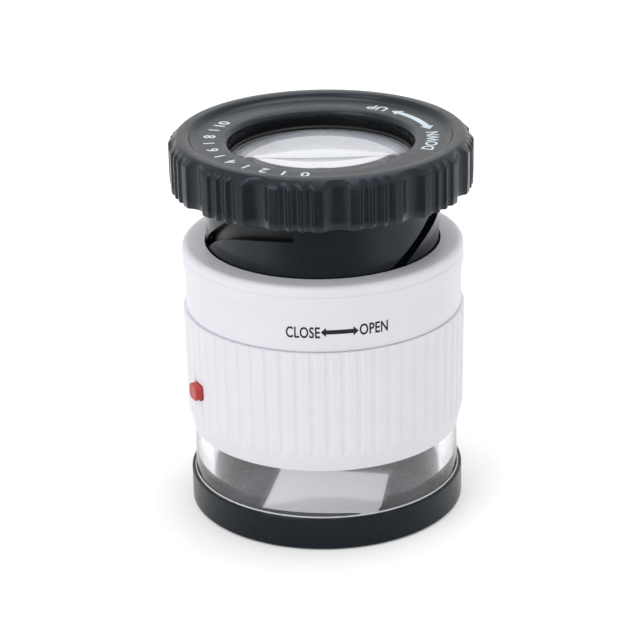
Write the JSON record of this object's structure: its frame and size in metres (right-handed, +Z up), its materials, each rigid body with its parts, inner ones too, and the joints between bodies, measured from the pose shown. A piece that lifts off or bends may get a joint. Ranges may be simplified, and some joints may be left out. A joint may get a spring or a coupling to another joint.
{
  "type": "illuminated stand magnifier",
  "caption": "Round stand loupe with a screw-focused lens tube in a fluted ring, a twist-off collar, a ribbed white grip with a red light button, and a clear skirt on a black foot",
  "frame": {"origin": "On the optical axis, at the underside of the foot.", "axes": "+Z up along the optical axis; the front with the open and close marks faces -Y; +X to the right."},
  "size_m": [0.0596, 0.0596, 0.0771],
  "materials": {
    "black_plastic": "satin",
    "white_plastic": "satin",
    "clear_acrylic": "polished clear",
    "lens_glass": "polished clear",
    "scale_glass": "polished clear",
    "chassis_plastic": "matt",
    "red_button": "satin",
    "circuit_board": "matt",
    "led_epoxy": "polished clear",
    "steel": "plain",
    "nickel": "plain",
    "brass": "plain"
  },
  "bodies": {
    "stand": {"base_plate": "black_plastic", "scale_plate": "scale_glass", "clear_skirt": "clear_acrylic", "grip_sleeve": "white_plastic", "chassis": "chassis_plastic", "led_board": "circuit_board", "led_1": "led_epoxy", "led_2": "led_epoxy", "led_3": "led_epoxy", "led_4": "led_epoxy", "led_5": "led_epoxy", "led_6": "led_epoxy", "board_screws": "steel", "battery_cell_1": "nickel", "battery_cell_2": "nickel", "battery_cell_3": "nickel", "battery_contact_inner": "steel", "battery_contact_outer": "steel", "switch_body": "black_plastic"},
    "button": {"power_button": "red_button", "switch_plunger": "black_plastic"},
    "collar": {"collar": "white_plastic", "cam_pin_1": "brass", "cam_pin_2": "brass", "cam_pin_3": "brass"},
    "lens_stack": {"eye_lens": "lens_glass", "spacer_ring": "chassis_plastic", "field_lens": "lens_glass", "lens_liner": "chassis_plastic"},
    "focus_tube": {"cam_barrel": "black_plastic", "focus_ring": "black_plastic", "lens_cell": "black_plastic", "retaining_ring": "black_plastic"}
  },
  "joints": [
    {"name": "collar_turn", "type": "hinge", "parent": "stand", "child": "collar", "pos_m": [0, 0, 0.0495], "axis": [0, 0, 1], "range_deg": [0, 32]},
    {"name": "focus_lift", "type": "slide", "parent": "collar", "child": "lens_stack", "axis": [0, 0, 1], "range_m": [-0.011, 0.0015]},
    {"name": "focus_turn", "type": "hinge", "parent": "lens_stack", "child": "focus_tube", "pos_m": [0, 0, 0.073], "axis": [0, 0, 1], "range_deg": [-44.05, 6.05]},
    {"name": "button_press", "type": "slide", "parent": "stand", "child": "button", "axis": [0.9026, 0.4305, 0], "range_m": [0, 0.0008], "stiffness_N_per_m": 800, "springref_m": -0.0005}
  ],
  "couplings": [
    {"joint": "focus_turn", "follows": "focus_lift", "rad_per_m": 69.813}
  ]
}
